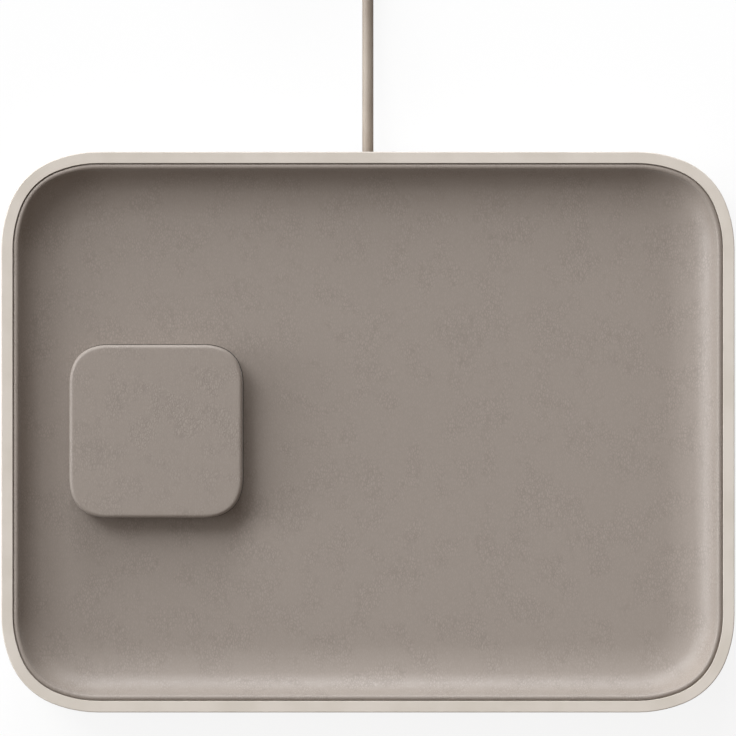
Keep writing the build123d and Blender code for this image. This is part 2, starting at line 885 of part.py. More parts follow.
def save_tray():
    print("tray")
    save("rim_frame", make_rim_frame())
    save("tray_pan", make_tray_pan())
    save("tray_leather", make_tray_leather())
    save("base_plate", make_base_plate())
    names = ("front_left", "rear_left", "front_right", "rear_right")
    for name, place in zip(names, foot_places):
        save(f"foot_{name}", make_foot(place))
    save("base_screws", *screws(
        base_screw_places, foot_stand, base_screw_radius, base_screw_length,
        base_screw_head_radius, base_screw_head_height,
    ))


def save_puck():
    print("puck")
    save("puck_housing", make_puck_housing())
    save("puck_leather", make_puck_leather())
    save("puck_screws", *small_screws(puck_screw_places, pan_bottom))
    save("coil_carrier", make_coil_carrier())
    save("ferrite_shield", make_ferrite_shield())
    save("charging_coil", make_charging_coil())
    save("magnet_ring", *[make_magnet(index) for index in range(magnet_count)])
    save("temperature_sensor", make_temperature_sensor())
    save("coil_leads", *[make_coil_lead(place) for place in lead_places])


def save_electronics():
    print("electronics")
    save("main_board", make_board(
        puck_centre, main_board_length, main_board_width, main_board_bottom, main_board_screw_places
    ))
    save("main_board_chips", *make_chips())
    save("resonant_capacitors", *make_capacitors())
    save("main_board_screws", *small_screws(main_board_screw_places, main_board_bottom))
    save("port_board", make_board(
        port_board_centre, port_board_length, port_board_width, port_board_bottom,
        port_board_screw_places,
    ))
    save("port_board_screws", *small_screws(port_board_screw_places, port_board_bottom))
    save("port_liner", make_port_liner())
    save("usb_receptacle", make_usb_receptacle())
    save("receptacle_tongue", make_receptacle_tongue())
    save("board_headers", *[spot * make_header() for spot in header_spots])
    save("harness_plugs", *[spot * make_harness_plug() for spot in header_spots])
    save("harness_wires", *[make_harness_wire(side) for side in (-1, 1)])


def save_cable():
    print("cable")
    near = Pos(0, grip_front, port_centre_z)
    coil, coil_edges = make_cable_coil()
    lead = tube(eased_line(lead_points(coil_edges[0] @ 0)).edges(), cable_diameter)
    tail_start = coil_edges[-1] @ 1
    tail_points = [tail_start] + [tail_start + Vector(*step) for step in tail_route]
    tail = tube(eased_line(tail_points).edges(), cable_diameter)
    far = Pos(*(tail_points[-1] + Vector(0, grip_length, 0))) * Rot(0, 0, 180)
    save("plug_shell", near * make_plug_shell())
    save("plug_contacts", near * make_plug_contacts())
    save("plug_grip", near * make_plug_grip())
    save("cable_lead", lead)
    save("cable_coil", coil)
    save("cable_tie", make_cable_tie())
    save("cable_tail", tail)
    save("far_plug_grip", far * make_plug_grip())
    save("far_plug_shell", far * make_plug_shell())
    save("far_plug_contacts", far * make_plug_contacts())


os.makedirs("parts", exist_ok=True)
save_tray()
save_puck()
save_electronics()
save_cable()
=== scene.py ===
import bpy
import json
from math import cos, pi, radians, sin
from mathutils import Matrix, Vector


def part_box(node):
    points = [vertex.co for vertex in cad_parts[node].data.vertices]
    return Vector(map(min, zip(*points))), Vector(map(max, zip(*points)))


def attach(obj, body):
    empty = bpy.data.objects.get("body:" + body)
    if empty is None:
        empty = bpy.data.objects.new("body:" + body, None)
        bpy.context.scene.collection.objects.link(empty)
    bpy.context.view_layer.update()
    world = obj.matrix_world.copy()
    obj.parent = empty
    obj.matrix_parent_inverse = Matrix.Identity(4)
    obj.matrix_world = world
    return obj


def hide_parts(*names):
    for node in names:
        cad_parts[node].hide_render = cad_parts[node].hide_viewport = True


# A charging tray seen from straight above: pale painted frame, leather-lined well,
# a raised leather-covered charging puck and a thin cable at the back.

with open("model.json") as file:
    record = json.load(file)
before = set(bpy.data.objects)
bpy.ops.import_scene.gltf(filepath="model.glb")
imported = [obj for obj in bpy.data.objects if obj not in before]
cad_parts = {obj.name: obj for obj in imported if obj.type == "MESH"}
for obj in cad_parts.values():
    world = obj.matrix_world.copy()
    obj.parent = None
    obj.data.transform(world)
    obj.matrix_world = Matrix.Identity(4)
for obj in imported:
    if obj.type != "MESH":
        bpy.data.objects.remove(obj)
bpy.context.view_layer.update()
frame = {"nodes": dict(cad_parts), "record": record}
mm = 0.001


def addObject(name, data):
    made = bpy.data.objects.new(name, data)
    bpy.context.scene.collection.objects.link(made)
    return made


print("camera")

photoView = {
    "width": 254.9 * mm,  # what the photograph shows, from side to side
    "centre": (0.05 * mm, 22.2 * mm),
    "level": 24 * mm,  # the height at which that width is measured
    "lens": 400,  # long, because the photograph shows hardly any perspective
    "sensor": 36,
    "nearest": 100 * mm,
    "furthest": 20,  # times the way to the tray
}


def makeCamera():
    look = photoView
    camera = addObject("camera", bpy.data.cameras.new("camera"))
    camera.data.sensor_width = look["sensor"]
    camera.data.lens = look["lens"]
    distance = look["width"] * look["lens"] / look["sensor"]
    camera.location = (*look["centre"], look["level"] + distance)
    camera.data.clip_start = look["nearest"]
    camera.data.clip_end = look["furthest"] * distance
    bpy.context.scene.camera = camera


makeCamera()


print("cable")

cableRoute = {
    "diameter": 3.9 * mm,
    "length": 1.52,
    "sides": 10,
    "stepsPerPoint": 6,
    "pointsPerHalfTurn": 8,
    "halfTurns": (4, 4, 4, 5),  # in each of the coil's layers, besides the one that climbs to it
    # from here on in millimetres
    "lead": [(0, 96.65, 8.2), (0, 110.65, 8.2), (0, 131.65, 4.8), (0, 157.05, 2.95), (0, 212.1, 2.95)],
    "coilCentre": (-25.55, 216),
    "coilRadius": 25.55,
    "coilLift": 2.95,
    "coilPitch": 4.35,
    "straight": 3.9,  # out of the coil
    "tail": [(0, 18, 0), (0.8, 36, -5.6), (1.2, 54, -12.95), (1.2, 66, -12.95)],  # from the coil's end
}


def coilCrossings():  # radius and height each time that the coil passes its middle line
    route = cableRoute
    step = route["coilPitch"] / 2
    radius = route["coilRadius"]
    inwards = -1
    crossings = [(radius, route["coilLift"])]
    for layer, halfTurns in enumerate(route["halfTurns"]):
        height = route["coilLift"] + layer * route["coilPitch"]
        if layer:  # climb in one half turn, and spiral back
            radius += inwards * step
            crossings.append((radius, height))
            inwards = -inwards
        for count in range(halfTurns):
            radius += inwards * step * (2 if layer and count == 0 else 1)
            crossings.append((radius, height))
    return crossings


def coilPoints():
    route = cableRoute
    centreX, centreY = route["coilCentre"]
    crossings = coilCrossings()
    steps = route["pointsPerHalfTurn"]
    outside = 1 / cos(pi / steps / 2)  # the curve touches its control lines at their middles
    points = []
    for count, ((radius, height), (nextRadius, nextHeight)) in enumerate(zip(crossings, crossings[1:])):
        side = (-1) ** count
        middle = centreX + side * (radius - nextRadius) / 2
        reach = (radius + nextRadius) / 2 * outside
        for step in range(steps):
            angle = (step + 0.5) / steps * pi
            rise = (1 - cos(angle)) / 2
            points.append((middle + side * reach * cos(angle), centreY + side * reach * sin(angle),
                           height + (nextHeight - height) * rise))
    radius, height = crossings[-1]
    points.append((centreX - side * radius, centreY + route["straight"], height))
    return points


def makeCable():
    route = cableRoute
    coil = coilPoints()
    tail = [tuple(a + b for a, b in zip(coil[-1], step)) for step in route["tail"]]
    points = [Vector(point) * mm for point in route["lead"] + coil + tail]
    curve = bpy.data.curves.new("cable", "CURVE")
    curve.dimensions = "3D"
    curve.bevel_depth = 1  # times each point's radius
    curve.bevel_resolution = route["sides"]
    curve.use_fill_caps = True
    spline = curve.splines.new("NURBS")
    spline.points.add(len(points) - 1)
    for spot, point in zip(spline.points, points):
        spot.co = (*point, 1)
        spot.radius = route["diameter"] / 2
    spline.order_u = 3
    spline.use_endpoint_u = True
    spline.resolution_u = route["stepsPerPoint"]
    cable = addObject("cable", curve)
    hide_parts("cable_lead", "cable_coil", "cable_tail")
    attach(cable, "cable")
    return cable


cable = makeCable()


# Materials

def tone(red, green, blue):  # a colour in steps of 255, as a shader wants it
    levels = [step / 255 for step in (red, green, blue)]
    return (*[v / 12.92 if v <= 0.04045 else ((v + 0.055) / 1.055) ** 2.4 for v in levels], 1.0)


class Signal:  # a value on its way through a shader, which adds and multiplies like a number
    def __init__(self, graph, socket):
        self.graph = graph
        self.socket = socket

    def __add__(self, other):
        return self.graph.maths("ADD", self, other)

    def __sub__(self, other):
        return self.graph.maths("SUBTRACT", self, other)

    def __rsub__(self, other):
        return self.graph.maths("SUBTRACT", other, self)

    def __mul__(self, other):
        return self.graph.maths("MULTIPLY", self, other)

    __radd__ = __add__
    __rmul__ = __mul__


class Graph:  # the nodes of a material or of the world
    def __init__(self, owner):
        owner.use_nodes = True
        self.tree = owner.node_tree
        self.tree.nodes.clear()

    def node(self, kind, settings=None, inputs=None, out=0):
        made = self.tree.nodes.new(kind)
        for key, value in (settings or {}).items():
            setattr(made, key, value)
        for key, value in (inputs or {}).items():
            if isinstance(value, Signal):
                self.tree.links.new(value.socket, made.inputs[key])
            else:
                made.inputs[key].default_value = value
        return Signal(self, made.outputs[out]) if made.outputs else None

    def maths(self, operation, first, second):
        return self.node("ShaderNodeMath", {"operation": operation}, {0: first, 1: second})


class Finish(Graph):  # one material, built up node by node
    def __init__(self, name):
        self.material = bpy.data.materials.new(name)
        super().__init__(self.material)
        self.place = self.node("ShaderNodeTexCoord", out="Object")

    def stretched(self, stretch, place=None):
        return self.node("ShaderNodeVectorMath", {"operation": "MULTIPLY"},
                         {0: place or self.place, 1: stretch})

    def warped(self, size, reach):  # the place, pushed about by a soft noise
        cloud = self.node("ShaderNodeTexNoise", None,
                          {"Vector": self.place, "Scale": 1 / size, "Detail": 1.0}, "Color")
        return self.node("ShaderNodeVectorMath", {"operation": "MULTIPLY_ADD"},
                         {0: cloud, 1: (reach, reach, reach), 2: self.place})

    def noise(self, size, detail=2.0, place=None, roughness=0.5):
        return self.node("ShaderNodeTexNoise", None, {
            "Vector": place or self.place, "Scale": 1 / size, "Detail": detail, "Roughness": roughness})

    def edges(self, size, place=None):  # the way to the edge of each of many cells
        return self.node("ShaderNodeTexVoronoi", {"feature": "DISTANCE_TO_EDGE"},
                         {"Vector": place or self.place, "Scale": 1 / size}, "Distance")

    def grains(self, size, distance="EUCLIDEAN"):  # the way to the middle of each of many cells
        return self.node("ShaderNodeTexVoronoi", {"feature": "F1", "distance": distance},
                         {"Vector": self.place, "Scale": 1 / size}, "Distance")

    def eased(self, value, span, lowest=0.0):  # a soft step up to one, over a span of values
        return self.node("ShaderNodeMapRange", {"interpolation_type": "SMOOTHSTEP"}, {
            "Value": value, "From Min": span[0], "From Max": span[1],
            "To Min": lowest, "To Max": 1.0})

    def mixed(self, share, first, second):  # two colours
        return self.node("ShaderNodeMix", {"data_type": "RGBA"}, {0: share, 6: first, 7: second}, 2)

    def bump(self, height, depth):
        return self.node("ShaderNodeBump", None, {"Height": height, "Distance": depth, "Strength": 1.0})

    def surface(self, **sockets):
        named = {key.replace("_", " "): value for key, value in sockets.items()}
        shader = self.node("ShaderNodeBsdfPrincipled", None, named)
        self.node("ShaderNodeOutputMaterial", None, {"Surface": shader})
        return self.material


# Finishes, each for a material slot of the record

leatherLook = {
    "light": tone(155, 144, 135),
    "dark": tone(131, 121, 113),
    "pebble": 0.95 * mm,  # grain, drawn out a little along the tray's short side
    "pebbleRise": (0.0, 0.3),
    "poresPerPebble": 3,
    "crease": 2.4 * mm,
    "creaseSpan": (0.36, 0.56),
    "patch": 9 * mm,  # where the grain comes and goes
    "patchSpan": (0.42, 0.62),
    "betweenPatches": 0.3,  # of the grain is left there
    "cloud": 22.5 * mm,
    "cloudShare": 0.1,
    "stretch": (1.35, 0.62, 1.0),
    "bend": 2.85 * mm,  # of the soft noise that bends the grain
    "pebbleShare": 0.5,
    "poreShare": 0.32,
    "creaseShare": 0.18,
    "middle": 0.57,  # the grain's own
    "depth": 0.055 * mm,
    "roughness": 0.45,
    "creaseRoughness": 0.12,  # added between the pebbles
    "sheen": 0.12,
    "sheenRoughness": 0.4,
    "shine": 0.48,
}


def makeLeather():
    look = leatherLook
    finish = Finish("taupeLeather")
    drawn = finish.stretched(look["stretch"], finish.warped(look["bend"], look["pebble"]))
    pebbles = finish.eased(finish.edges(look["pebble"], drawn), look["pebbleRise"])
    pores = finish.noise(look["pebble"] / look["poresPerPebble"], 2.0, drawn)
    creases = finish.eased(finish.noise(look["crease"], 3.0, drawn, 0.6), look["creaseSpan"])
    patches = finish.eased(finish.noise(look["patch"], 3.0), look["patchSpan"], look["betweenPatches"])
    relief = pebbles * look["pebbleShare"] + pores * look["poreShare"] + creases * look["creaseShare"]
    grain = (relief - look["middle"]) * patches
    cloud = finish.noise(look["cloud"]) - 0.5
    return finish.surface(
        Base_Color=finish.mixed(grain + cloud * look["cloudShare"] + 0.5, look["dark"], look["light"]),
        Roughness=look["roughness"] + look["creaseRoughness"] * (1 - pebbles),
        Normal=finish.bump(grain, look["depth"]),
        Sheen_Weight=look["sheen"],
        Sheen_Roughness=look["sheenRoughness"],
        Specular_IOR_Level=look["shine"],
    )


paintLook = {
    "light": tone(212, 203, 193),
    "dark": tone(204, 195, 184),
    "peel": 0.5 * mm,  # the fine waves of a powder coat
    "cloud": 15 * mm,
    "specksPerPeel": 3,
    "toneSpan": (0.35, 0.6),
    "speckShare": 0.3,
    "depth": 0.008 * mm,
    "roughness": 0.46,
    "peelRoughness": 0.1,
    "shine": 0.45,
}


def makePaint():
    look = paintLook
    finish = Finish("bonePaint")
    peel = finish.noise(look["peel"])
    cloud = finish.noise(look["cloud"], 3.0)
    speck = finish.noise(look["peel"] / look["specksPerPeel"], 1.0)
    share = finish.eased(cloud * (1 - look["speckShare"]) + speck * look["speckShare"], look["toneSpan"])
    return finish.surface(
        Base_Color=finish.mixed(share, look["dark"], look["light"]),
        Roughness=look["roughness"] + look["peelRoughness"] * (peel - 0.5),
        Normal=finish.bump(peel + look["speckShare"] * speck, look["depth"]),
        Specular_IOR_Level=look["shine"],
    )


mouldingLook = {
    "spark": 0.35 * mm,  # the fine texture of the mould
    "cloud": 21 * mm,
    "fineShare": 0.4,
    "toneSpan": (0.35, 0.65),
    "fineRoughness": 0.12,
    "depth": 0.012 * mm,
}


def makeMoulding(name, light, dark, roughness=0.5):
    look = mouldingLook
    finish = Finish(name)
    spark = finish.grains(look["spark"])
    fine = finish.noise(look["spark"] / 2)
    cloud = finish.noise(look["cloud"])
    share = finish.eased(cloud * (1 - look["fineShare"]) + fine * look["fineShare"], look["toneSpan"])
    return finish.surface(
        Base_Color=finish.mixed(share, dark, light),
        Roughness=roughness + look["fineRoughness"] * (fine - 0.5),
        Normal=finish.bump(spark + look["fineShare"] * fine, look["depth"]),
    )


rubberLook = {
    "bloom": 5 * mm,
    "bloomSpan": (0.3, 0.7),
    "bloomRoughness": 0.15,
    "grain": 0.4 * mm,
    "grainShare": 0.3,
    "depth": 0.015 * mm,
    "shine": 0.35,
}


def makeRubber(name, light, dark, roughness):
    look = rubberLook
    finish = Finish(name)
    grain = finish.noise(look["grain"], 3.0, None, 0.7)
    bloom = finish.eased(finish.noise(look["bloom"], 3.0), look["bloomSpan"])
    share = bloom * (1 - look["grainShare"]) + grain * look["grainShare"]
    return finish.surface(
        Base_Color=finish.mixed(share, dark, light),
        Roughness=roughness + look["bloomRoughness"] * (bloom - 0.5),
        Normal=finish.bump(grain, look["depth"]),
        Specular_IOR_Level=look["shine"],
    )


brushLook = {
    "line": 1.26 * mm,
    "narrowing": 14.0,  # of the lines across the brushing
    "lineShare": 0.6,
    "lineRoughness": 0.1,
    "smudge": 4 * mm,
    "smudgeRoughness": 0.18,
    "toneSpan": (0.3, 0.7),
    "depth": 0.004 * mm,
}


def makeMetal(name, light, dark, roughness, along=(1, 1, 1)):
    look = brushLook
    finish = Finish(name)
    brushed = finish.stretched([look["narrowing"] ** (1 - way) for way in along])
    lines = finish.noise(look["line"], 3.0, brushed)
    smudge = finish.noise(look["smudge"], 3.0)
    share = finish.eased(lines * look["lineShare"] + smudge * (1 - look["lineShare"]), look["toneSpan"])
    wear = look["smudgeRoughness"] * (smudge - 0.5) + look["lineRoughness"] * (lines - 0.5)
    return finish.surface(
        Base_Color=finish.mixed(share, dark, light),
        Metallic=1.0,
        Roughness=roughness + wear,
        Normal=finish.bump(lines, look["depth"]),
    )


jacketLook = {
    "light": tone(155, 143, 131),
    "dark": tone(143, 130, 118),
    "cloud": 11 * mm,
    "toneSpan": (0.35, 0.65),
    "grain": 0.45 * mm,
    "grainShare": 0.3,
    "grainRoughness": 0.14,
    "depth": 0.012 * mm,
    "roughness": 0.5,
    "shine": 0.4,
}


def makeJacket():
    look = jacketLook
    finish = Finish("cableJacket")
    grain = finish.noise(look["grain"], 3.0, None, 0.6)
    cloud = finish.noise(look["cloud"])
    share = finish.eased(cloud * (1 - look["grainShare"]) + grain * look["grainShare"], look["toneSpan"])
    return finish.surface(
        Base_Color=finish.mixed(share, look["dark"], look["light"]),
        Roughness=look["roughness"] + look["grainRoughness"] * (grain - 0.5),
        Normal=finish.bump(grain, look["depth"]),
        Specular_IOR_Level=look["shine"],
    )


copperLook = {
    "light": tone(206, 128, 82),
    "dark": tone(156, 84, 48),
    "strand": 0.35 * mm,
    "stretch": (1.0, 1.0, 2.5),
    "depth": 0.02 * mm,
    "age": 3.15 * mm,
    "ageSpan": (0.3, 0.7),
    "ageRoughness": 0.15,
    "roughness": 0.28,
    "metal": 0.9,
    "enamel": 0.4,
}


def makeCopper():
    look = copperLook
    finish = Finish("enamelledCopper")
    strand = finish.edges(look["strand"], finish.stretched(look["stretch"]))
    age = finish.eased(finish.noise(look["age"], 3.0), look["ageSpan"])
    return finish.surface(
        Base_Color=finish.mixed(age, look["dark"], look["light"]),
        Metallic=look["metal"],
        Roughness=look["roughness"] + look["ageRoughness"] * age,
        Normal=finish.bump(strand, look["depth"]),
        Coat_Weight=look["enamel"],
    )


sinterLook = {
    "light": tone(62, 60, 62),
    "dark": tone(32, 31, 33),
    "grain": 0.3 * mm,
    "grainShare": 0.4,
    "grainRoughness": 0.2,
    "chip": 0.9 * mm,
    "chipSpan": (0.4, 0.7),
    "depth": 0.02 * mm,
    "roughness": 0.62,
}


def makeFerrite():
    look = sinterLook
    finish = Finish("sinteredFerrite")
    grain = finish.grains(look["grain"])
    chips = finish.eased(finish.noise(look["chip"], 4.0, None, 0.7), look["chipSpan"])
    share = chips * (1 - look["grainShare"]) + grain * look["grainShare"]
    return finish.surface(
        Base_Color=finish.mixed(share, look["dark"], look["light"]),
        Roughness=look["roughness"] + look["grainRoughness"] * (grain - 0.5),
        Normal=finish.bump(grain + chips, look["depth"]),
    )


boardLook = {
    "mask": tone(22, 78, 44),
    "track": tone(46, 112, 62),
    "pad": tone(196, 164, 92),
    "net": 3.52 * mm,
    "trackSpacing": 0.12,  # a share of the net, as its edge is
    "trackEdge": (0.03, 0.05),
    "padPitch": 1.6 * mm,
    "padEdge": (0.12, 0.16),
    "padRoughness": 0.2,
    "padMetal": 0.8,
    "roughness": 0.35,
    "depth": 0.02 * mm,
}


def makeBoard():
    look = boardLook
    finish = Finish("boardLaminate")
    net = finish.grains(look["net"], "CHEBYCHEV")
    tracks = finish.eased(finish.maths("PINGPONG", net, look["trackSpacing"]), look["trackEdge"])
    pads = 1 - finish.eased(finish.grains(look["padPitch"]), look["padEdge"])
    masked = finish.mixed(tracks, look["mask"], look["track"])
    return finish.surface(
        Base_Color=finish.mixed(pads, masked, look["pad"]),
        Roughness=look["roughness"] + look["padRoughness"] * pads,
        Metallic=look["padMetal"] * pads,
        Normal=finish.bump(tracks + pads, look["depth"]),
    )


capacitorLook = {
    "body": tone(158, 118, 78),
    "end": tone(196, 196, 198),
    "band": 2.4 * mm,
    "waver": 0.6,
    "bandShare": 0.25,
    "grain": 0.3 * mm,
    "grainShare": 0.2,
    "grainRoughness": 0.25,
    "roughness": 0.32,
    "depth": 0.01 * mm,
}


def makeCapacitor():
    look = capacitorLook
    finish = Finish("capacitorCeramic")
    grain = finish.noise(look["grain"], 3.0, None, 0.7)
    layers = finish.node("ShaderNodeTexWave", {"bands_direction": "Z"}, {
        "Vector": finish.place, "Scale": 1 / look["band"], "Distortion": look["waver"]})
    share = layers * look["bandShare"] + grain * look["grainShare"]
    return finish.surface(
        Base_Color=finish.mixed(share, look["body"], look["end"]),
        Roughness=look["roughness"] + look["grainRoughness"] * grain,
        Normal=finish.bump(grain, look["depth"]),
    )


print("finishes")

finishes = {
    "bone_paint": makePaint(),
    "taupe_leather": makeLeather(),
    "grey_moulding": makeMoulding("greyMoulding", tone(96, 91, 87), tone(84, 79, 75)),
    "base_moulding": makeMoulding("baseMoulding", tone(122, 114, 107), tone(108, 101, 94), 0.58),
    "foot_rubber": makeRubber("footRubber", tone(84, 79, 76), tone(66, 62, 60), 0.72),
    "screw_steel": makeMetal("screwSteel", tone(176, 176, 180), tone(136, 137, 142), 0.34),
    "bone_moulding": makeMoulding("boneMoulding", tone(158, 146, 134), tone(147, 134, 122)),
    "cable_jacket": makeJacket(),
    "tie_rubber": makeRubber("tieRubber", tone(150, 139, 129), tone(132, 121, 112), 0.66),
    "plug_steel": makeMetal("plugSteel", tone(206, 205, 204), tone(172, 172, 174), 0.24, (0, 1, 0)),
    "contact_moulding": makeMoulding("contactMoulding", tone(34, 34, 36), tone(22, 22, 24), 0.42),
    "copper": makeCopper(),
    "ferrite": makeFerrite(),
    "magnet_nickel": makeMetal("magnetNickel", tone(196, 193, 188), tone(160, 158, 155), 0.18),
    "board_laminate": makeBoard(),
    "chip_moulding": makeMoulding("chipMoulding", tone(36, 36, 38), tone(24, 24, 26), 0.55),
    "capacitor_ceramic": makeCapacitor(),
    "header_nylon": makeMoulding("headerNylon", tone(228, 222, 206), tone(212, 205, 188), 0.4),
    "wire_insulation": makeRubber("wireInsulation", tone(58, 58, 60), tone(40, 40, 43), 0.45),
}


def dress(piece, slot):
    piece.data.materials.clear()
    piece.data.materials.append(finishes[slot])


for part in frame["record"]["subparts"]:
    dress(frame["nodes"][part["node"]], part["material_slot"])

dress(cable, "cable_jacket")


# Meshes

outlineLook = {
    "endTurn": 22,  # turn of the flatter arc at each end of a corner, in degrees
    "endSteps": 8,
    "middleSteps": 14,
    "runStep": 6 * mm,
}


# points round a soft rectangle, each with the direction that faces out of it
def roundedStations(length, width, middleRadius, endRadius, centre):
    look = outlineLook
    endTurn = radians(look["endTurn"])
    reach = endRadius * (1 + sin(endTurn) - cos(endTurn)) + middleRadius * (cos(endTurn) - sin(endTurn))
    arcs = ((endRadius, endTurn, look["endSteps"]),
            (middleRadius, pi / 2 - 2 * endTurn, look["middleSteps"]),
            (endRadius, endTurn, look["endSteps"]))
    place = Vector((centre[0] + length / 2, centre[1] - width / 2 + reach, 0))
    facing = 0.0
    stations = []
    for side in range(4):
        run = (length if side % 2 else width) - 2 * reach
        outward = Vector((cos(facing), sin(facing), 0))
        along = Vector((-outward.y, outward.x, 0))
        steps = max(1, round(run / look["runStep"]))
        stations += [(place + along * run * count / steps, outward) for count in range(steps)]
        place = place + along * run
        for radius, turn, steps in arcs:
            middle = place - Vector((cos(facing), sin(facing), 0)) * radius
            for count in range(steps + 1):
                angle = facing + turn * count / steps
                outward = Vector((cos(angle), sin(angle), 0))
                if count < steps:
                    stations.append((middle + outward * radius, outward))
            place = middle + outward * radius
            facing += turn
    return stations


def ringPoints(stations, profile):  # a ring for each inset and height of the profile
    return [place - outward * inset + Vector((0, 0, height))
            for inset, height in profile for place, outward in stations]


def ringFaces(ringCount, size):  # four-sided, between rings of points from the outermost in
    faces = []
    for ring in range(ringCount - 1):
        for index in range(size):
            after = (index + 1) % size
            faces.append((ring * size + index, ring * size + after,
                          (ring + 1) * size + after, (ring + 1) * size + index))
    return faces


def addMesh(name, points, faces):
    mesh = bpy.data.meshes.new(name)
    mesh.from_pydata([tuple(point) for point in points], [], faces)
    mesh.validate()
    return addObject(name, mesh)


def addPiece(name, points, faces, slot, body, *stoodFor):
    piece = addMesh(name, points, faces)
    dress(piece, slot)
    for face in piece.data.polygons:
        face.use_smooth = True
    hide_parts(*stoodFor)
    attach(piece, body)
    return piece


def addModifier(piece, kind, **settings):
    modifier = piece.modifiers.new(kind.lower(), kind)
    for key, value in settings.items():
        setattr(modifier, key, value)


def settle(piece, sharpAngle):  # applies every modifier, and shades the corners as corners
    bpy.context.view_layer.objects.active = piece
    for modifier in list(piece.modifiers):
        bpy.ops.object.modifier_apply(modifier=modifier.name)
    piece.data.set_sharp_from_angle(angle=radians(sharpAngle))


trayLow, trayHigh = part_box("rim_frame")
liningLow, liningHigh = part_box("tray_leather")
puckLow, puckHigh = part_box("puck_leather")

puckCap = {
    "cornerRadius": 10.4 * mm,
    "cornerEndRadius": 17.0 * mm,
    "edgeRound": 1.3 * mm,
    "edgeSteps": 10,
    "skin": 0.74 * mm,
    "rings": (0.97, 0.9, 0.75, 0.5, 0.25, 0.08),  # shares of the way from the middle, on top
    "sharpAngle": 40,
}


def puckStations(grow=0.0):
    look = puckCap
    size = puckHigh.x - puckLow.x + 2 * grow
    return roundedStations(size, size, look["cornerRadius"] + grow, look["cornerEndRadius"] + grow,
                           ((puckHigh.x + puckLow.x) / 2, (puckHigh.y + puckLow.y) / 2))


print("tray lining")

lining = {
    "thickness": 0.7 * mm,
    "rimWidth": 3.95 * mm,
    "groove": 0.14 * mm,  # from the frame to the leather's rounded edge
    "edgeRound": 0.95 * mm,
    "edgeSteps": 7,
    "lipInset": 5.08 * mm,  # where the leather starts to roll down
    "rollRadius": 1.05 * mm,
    "rollSteps": 10,
    "wallSlope": 75.5,  # where the wall meets the lip, in degrees
    "wallSteps": 24,
    "coveRadius": 39 * mm,
    "coveTurn": 15,
    "coveSteps": 14,
    "cornerRadius": 2.3 * mm,  # of the floor
    "cornerEndRadius": 19.2 * mm,
    "puckGap": 0.22 * mm,
    "cutBelow": 5 * mm,  # how far the puck's cut reaches under the lining
    "skin": 0.64 * mm,
    "sharpAngle": 35,
}


# insets and heights along an arc, its angles in degrees from upright; side is 1 for an arc
# that opens to the tray's middle and -1 for one that bulges outwards
def arcSteps(centre, radius, start, end, steps, side=1):
    angles = [radians(start + (end - start) * count / steps) for count in range(steps + 1)]
    return [(centre[0] - side * radius * sin(angle), centre[1] - side * radius * cos(angle))
            for angle in angles]


# from the lip's outer edge down to the floor, as insets from the tray's side and heights
def liningProfile():
    look = lining
    outer = look["rimWidth"] + look["groove"]
    top = liningHigh.z
    floor = liningLow.z + look["thickness"]
    lip = look["lipInset"]
    cove, turn, slope = look["coveRadius"], radians(look["coveTurn"]), radians(look["wallSlope"])
    roll, edge = look["rollRadius"], look["edgeRound"]
    wall = (top - floor - cove * (1 - cos(turn)) - roll * (1 - cos(slope))) / (cos(turn) - cos(slope))
    floorInset = lip + (cove - wall) * sin(turn) + (wall + roll) * sin(slope)
    wallCentre = (floorInset - (cove - wall) * sin(turn), floor + cove - (cove - wall) * cos(turn))
    coveCentre = (floorInset, floor + cove)
    profile = [(outer, top - look["skin"])]
    profile += arcSteps((outer + edge, top - edge), edge, -90, 0, look["edgeSteps"], -1)
    profile += arcSteps((lip, top - roll), roll, 0, look["wallSlope"], look["rollSteps"], -1)
    profile += arcSteps(wallCentre, wall, look["wallSlope"], look["coveTurn"], look["wallSteps"])[1:]
    profile += arcSteps(coveCentre, cove, look["coveTurn"], 0, look["coveSteps"])[1:]
    return profile, floorInset


def makePuckCutter():
    stations = puckStations(lining["puckGap"])
    size = len(stations)
    points = ringPoints(stations, [(0, puckHigh.z), (0, liningLow.z - lining["cutBelow"])])
    faces = ringFaces(2, size) + [list(range(size - 1, -1, -1)), list(range(size, 2 * size))]
    return addMesh("cutter", points, [face[::-1] for face in faces])


def makeTrayLining():
    look = lining
    profile, floorInset = liningProfile()
    stations = roundedStations(
        trayHigh.x - trayLow.x, trayHigh.y - trayLow.y, floorInset + look["cornerRadius"],
        floorInset + look["cornerEndRadius"],
        ((trayHigh.x + trayLow.x) / 2, (trayHigh.y + trayLow.y) / 2))
    size = len(stations)
    points = ringPoints(stations, profile)
    faces = ringFaces(len(profile), size)
    faces.append(list(range(len(points) - size, len(points))))
    piece = addPiece("trayLining", points, faces, "taupe_leather", "station", "tray_leather")
    cutter = makePuckCutter()
    addModifier(piece, "SOLIDIFY", thickness=look["skin"], offset=-1, use_even_offset=True)
    addModifier(piece, "BOOLEAN", operation="DIFFERENCE", object=cutter, solver="EXACT")
    settle(piece, look["sharpAngle"])
    bpy.data.objects.remove(cutter)


makeTrayLining()


print("puck cap")


